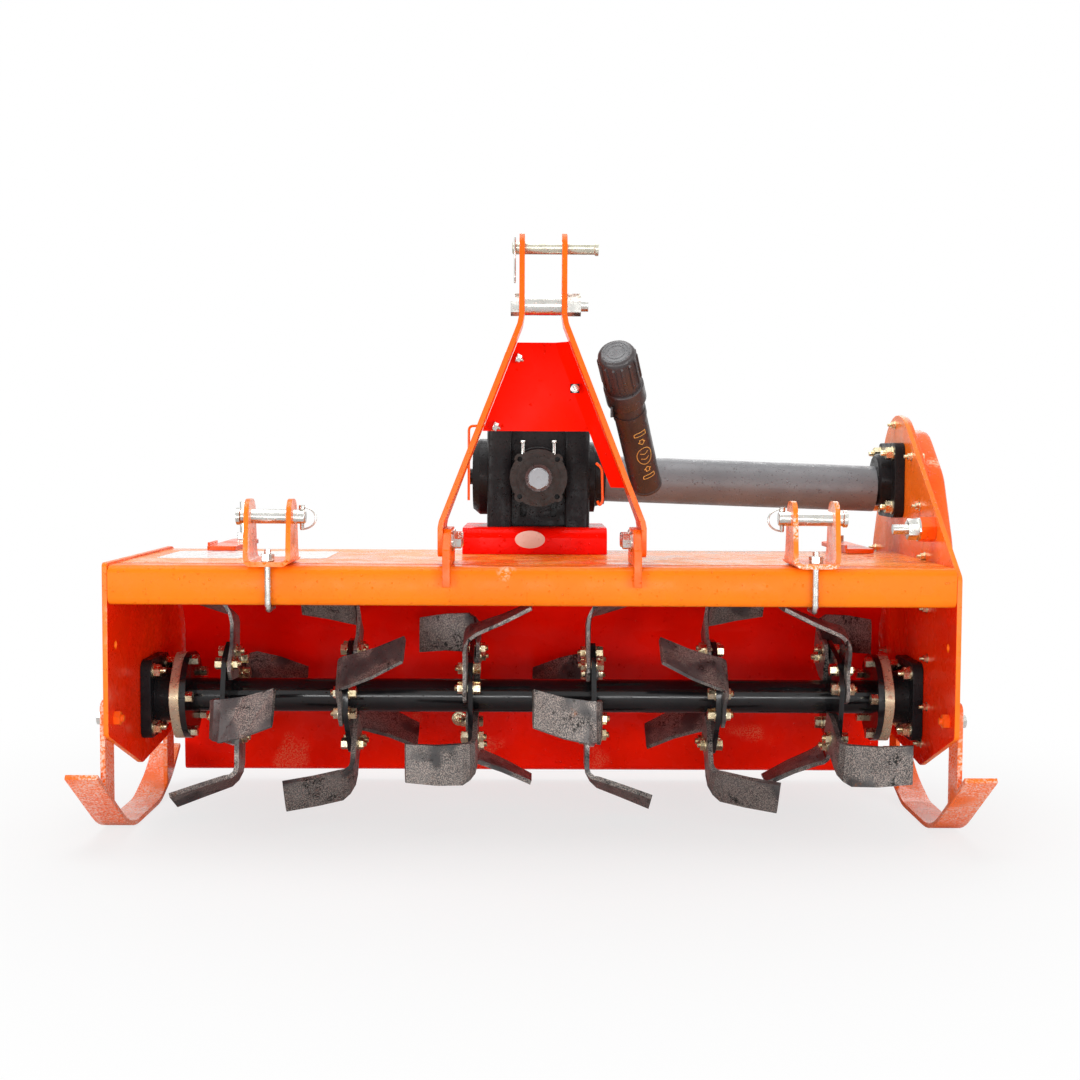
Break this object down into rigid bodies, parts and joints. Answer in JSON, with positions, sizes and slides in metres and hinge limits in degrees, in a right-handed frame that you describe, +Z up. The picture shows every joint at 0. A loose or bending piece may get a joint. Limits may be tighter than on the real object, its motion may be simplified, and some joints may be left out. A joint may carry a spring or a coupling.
{
  "type": "rotary tiller",
  "caption": "Tractor-mounted rotary tiller with a three-point hitch, side gear drive, bladed rotor under a hood, side skids and a sprung tail board.",
  "frame": {"origin": "on the floor under the middle of the machine's bounding box", "axes": "+X to the right as seen from the tractor side, along the rotor; +Y back from the hitch to the tail board; +Z up"},
  "size_m": [1.4, 0.6232, 0.946],
  "materials": {
    "beam_paint": "glossy orange paint, wet",
    "body_paint": "glossy red-orange paint, wet",
    "black_paint": "gloss black paint",
    "black_casting": "satin black paint on a casting",
    "tine_steel": "dark oxide with scuffs and light rust",
    "zinc_steel": "zinc plated",
    "yellow_zinc": "yellow zinc plated",
    "grey_plastic": "dark grey moulded plastic"
  },
  "bodies": {
    "machine": {"front_beam": "beam_paint", "left_side_plate": "body_paint", "right_side_plate": "body_paint", "hood": "body_paint", "hinge_pin": "zinc_steel", "gearbox_saddle": "body_paint", "left_mast_lug": "body_paint", "right_mast_lug": "body_paint", "left_mast_leg": "body_paint", "right_mast_leg": "body_paint", "mast_guard": "body_paint", "top_link_pin": "zinc_steel", "mast_spacer_bolt": "zinc_steel", "gearbox": "black_casting", "drive_shaft_guard": "grey_plastic", "upper_bearing_housing": "black_casting", "gear_case_cover": "body_paint", "left_bearing_cap": "black_casting", "left_rotor_bearing": "black_casting", "right_rotor_bearing": "black_casting", "left_clevis": "body_paint", "right_clevis": "body_paint", "left_clevis_pin": "zinc_steel", "right_clevis_pin": "zinc_steel", "left_hook_bolt": "zinc_steel", "right_hook_bolt": "zinc_steel", "left_skid": "body_paint", "right_skid": "body_paint", "left_rod_bracket": "body_paint", "right_rod_bracket": "body_paint", "side_stud": "zinc_steel", "manual_tube": "grey_plastic"},
    "rotor": {"rotor_tube": "black_paint", "left_rotor_hub": "yellow_zinc", "right_rotor_hub": "yellow_zinc", "tine_set_1": "tine_steel", "tine_set_2": "tine_steel", "tine_set_3": "tine_steel", "tine_set_4": "tine_steel", "tine_set_5": "tine_steel", "tine_set_6": "tine_steel"},
    "input": {"input_shaft": "zinc_steel"},
    "tail": {"tail_board": "body_paint"},
    "left_push_rod": {"left_rod": "zinc_steel", "left_spring": "black_paint"},
    "right_push_rod": {"right_rod": "zinc_steel", "right_spring": "black_paint"}
  },
  "joints": [
    {"name": "rotor_spin", "type": "hinge", "parent": "machine", "child": "rotor", "pos_m": [0, -0.0284, 0.208], "axis": [1, 0, 0], "continuous": true},
    {"name": "input_spin", "type": "hinge", "parent": "machine", "child": "input", "pos_m": [0.009, -0.0184, 0.5736], "axis": [0, 1, 0], "continuous": true},
    {"name": "tail_board_hinge", "type": "hinge", "parent": "machine", "child": "tail", "pos_m": [0, 0.2516, 0.205], "axis": [1, 0, 0], "range_deg": [0, 60]},
    {"name": "left_rod_pivot", "type": "hinge", "parent": "tail", "child": "left_push_rod", "pos_m": [-0.542, 0.2866, 0.15], "axis": [1, 0, 0], "range_deg": [-54, 0], "deforming": ["left_spring"]},
    {"name": "right_rod_pivot", "type": "hinge", "parent": "tail", "child": "right_push_rod", "pos_m": [0.57, 0.2866, 0.15], "axis": [1, 0, 0], "range_deg": [-54, 0], "deforming": ["right_spring"]}
  ],
  "couplings": [
    {"joint": "input_spin", "follows": "rotor_spin", "ratio": -2.7},
    {"joint": "left_rod_pivot", "follows": "tail_board_hinge", "ratio": -0.877},
    {"joint": "right_rod_pivot", "follows": "tail_board_hinge", "ratio": -0.877}
  ]
}
